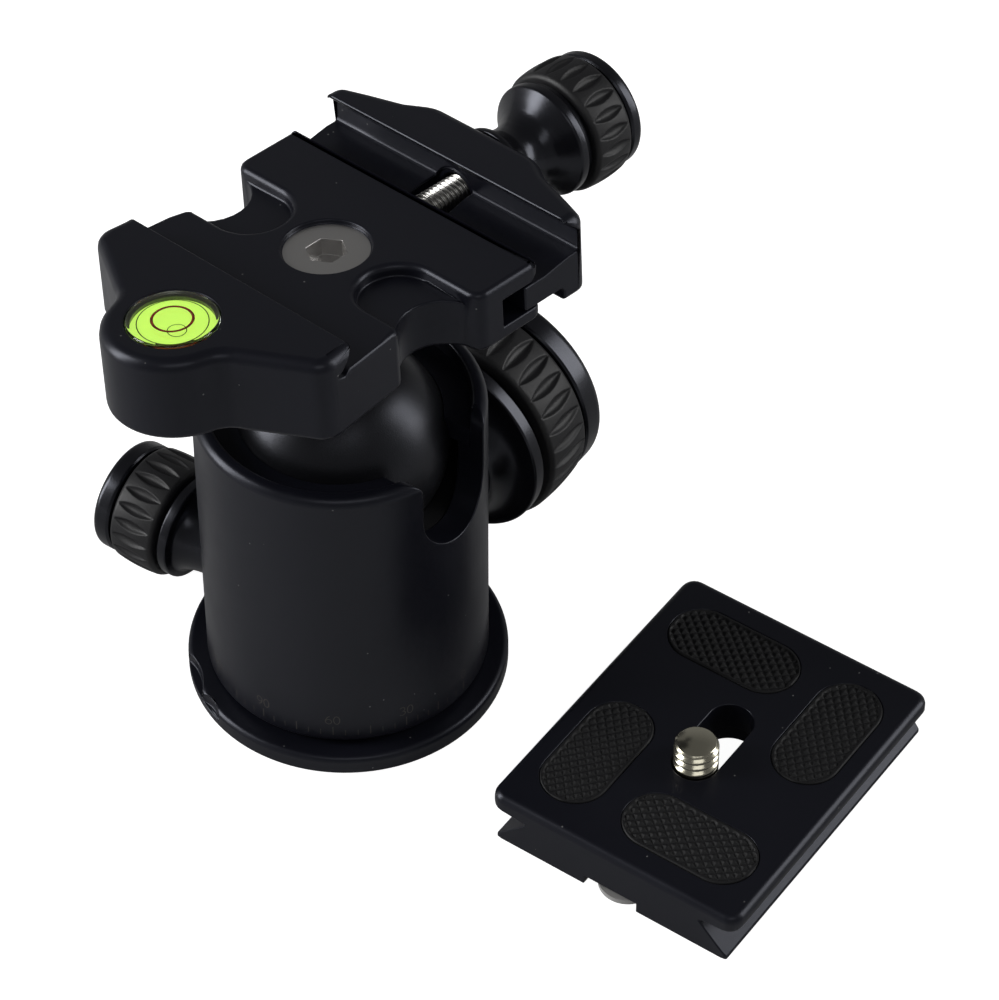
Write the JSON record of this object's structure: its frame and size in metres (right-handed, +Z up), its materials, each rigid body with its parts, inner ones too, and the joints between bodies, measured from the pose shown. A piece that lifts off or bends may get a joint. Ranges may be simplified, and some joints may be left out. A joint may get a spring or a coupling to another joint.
{
  "type": "tripod ball head",
  "caption": "Tripod ball head with panning base, drop notch, lock and pan knobs, and a dovetail screw clamp with level; its quick-release plate stands beside it.",
  "frame": {"origin": "centre of the tripod socket's mouth, in the middle of the base's flat underside", "axes": "+Z up along the pan axis, +X out along the main lock knob's axis, +Y out along the pan knob's axis; the drop notch faces -Y"},
  "size_m": [0.0891, 0.1166, 0.0825],
  "materials": {
    "black_metal": "satin",
    "ball_black": "satin",
    "knob_metal": "satin",
    "grip_rubber": "matt",
    "pad_rubber": "matt",
    "bright_steel": "satin",
    "screw_nickel": "polished",
    "dark_steel": "satin",
    "brass": "satin",
    "nylon": "satin",
    "level_body": "satin",
    "level_fluid": "clear",
    "level_clear": "clear"
  },
  "bodies": {
    "base": {"base_disc": "black_metal", "pan_spindle": "dark_steel", "tripod_insert": "bright_steel", "pan_washer": "nylon", "spindle_clip": "dark_steel"},
    "housing": {"housing": "black_metal", "seat_ring": "black_metal", "main_bush": "brass", "wedge_spring": "bright_steel"},
    "lower_seat": {"lower_seat": "knob_metal"},
    "wedge": {"lock_wedge": "brass"},
    "main_knob": {"main_hub": "knob_metal", "main_grip": "grip_rubber", "main_cap": "knob_metal", "main_screw": "bright_steel"},
    "pan_shoe": {"pan_shoe": "brass"},
    "pan_knob": {"pan_hub": "knob_metal", "pan_grip": "grip_rubber", "pan_cap": "knob_metal", "pan_screw": "bright_steel"},
    "ball": {"ball": "ball_black"},
    "clamp": {"stem": "ball_black", "clamp_body": "black_metal", "center_screw": "bright_steel", "locating_pins": "dark_steel", "level_cup": "level_body", "level_fluid": "level_fluid", "level_lens": "level_clear", "jaw_springs": "bright_steel"},
    "jaw": {"moving_jaw": "black_metal", "guide_pins": "bright_steel"},
    "clamp_knob": {"clamp_hub": "knob_metal", "clamp_grip": "grip_rubber", "clamp_cap": "knob_metal", "clamp_screw": "bright_steel"},
    "plate": {"plate_body": "black_metal", "plate_pads": "pad_rubber"},
    "screw_washer": {"screw_washer": "nylon"},
    "camera_screw": {"camera_screw": "screw_nickel", "ring_pin": "dark_steel"},
    "screw_ring": {"screw_ring": "bright_steel"}
  },
  "joints": [
    {"name": "pan", "type": "hinge", "parent": "housing", "child": "base", "pos_m": [0, 0, 0.01], "axis": [0, 0, -1], "continuous": true},
    {"name": "seat_lift", "type": "slide", "parent": "housing", "child": "lower_seat", "axis": [0, 0, 1], "range_m": [-0.00035, 0]},
    {"name": "wedge_travel", "type": "slide", "parent": "housing", "child": "wedge", "axis": [1, 0, 0], "range_m": [0, 0.00125], "deforming": ["wedge_spring"]},
    {"name": "main_lock", "type": "hinge", "parent": "wedge", "child": "main_knob", "pos_m": [0.03, 0, 0.0233], "axis": [1, 0, 0], "range_deg": [0, 360]},
    {"name": "pan_shoe_travel", "type": "slide", "parent": "housing", "child": "pan_shoe", "axis": [0, 1, 0], "range_m": [0, 0.001]},
    {"name": "pan_lock", "type": "hinge", "parent": "pan_shoe", "child": "pan_knob", "pos_m": [0, 0.03, 0.0104], "axis": [0, 1, 0], "range_deg": [0, 360]},
    {"name": "tilt", "type": "hinge", "parent": "housing", "child": "ball", "pos_m": [0, 0, 0.044], "axis": [0.9969, 0, -0.0786], "range_deg": [-35, 95.66]},
    {"name": "swivel", "type": "hinge", "parent": "ball", "child": "clamp", "pos_m": [0, 0, 0.044], "axis": [0.0782, 0.0986, 0.992], "continuous": true},
    {"name": "jaw_travel", "type": "slide", "parent": "clamp", "child": "jaw", "axis": [0.9827, -0.1749, -0.0601], "range_m": [-0.0037, 0.0006], "deforming": ["jaw_springs"]},
    {"name": "clamp_turn", "type": "hinge", "parent": "jaw", "child": "clamp_knob", "pos_m": [0.04152, -0.00421, 0.06967], "axis": [0.9827, -0.1749, -0.0601], "range_deg": [-1665, 270]},
    {"name": "plate_lift_off", "type": "slide", "parent": "housing", "child": "plate", "axis": [0, 0, 1], "range_m": [0, 0.05]},
    {"name": "screw_shift", "type": "slide", "parent": "plate", "child": "screw_washer", "axis": [0.9999, -0.0119, 0], "range_m": [0, 0.0084]},
    {"name": "screw_spin", "type": "hinge", "parent": "screw_washer", "child": "camera_screw", "pos_m": [0.004, -0.05645, 0.00592], "axis": [0, 0, 1], "continuous": true},
    {"name": "ring_fold", "type": "hinge", "parent": "camera_screw", "child": "screw_ring", "pos_m": [0.0016, -0.05642, 0.0004], "axis": [0.0119, 0.9999, 0], "range_deg": [-90, 0]}
  ],
  "couplings": [
    {"joint": "main_lock", "follows": "wedge_travel", "rad_per_m": 5026.5},
    {"joint": "seat_lift", "follows": "wedge_travel", "ratio": -0.28},
    {"joint": "pan_lock", "follows": "pan_shoe_travel", "rad_per_m": 6283.2},
    {"joint": "clamp_turn", "follows": "jaw_travel", "rad_per_m": 7854}
  ]
}
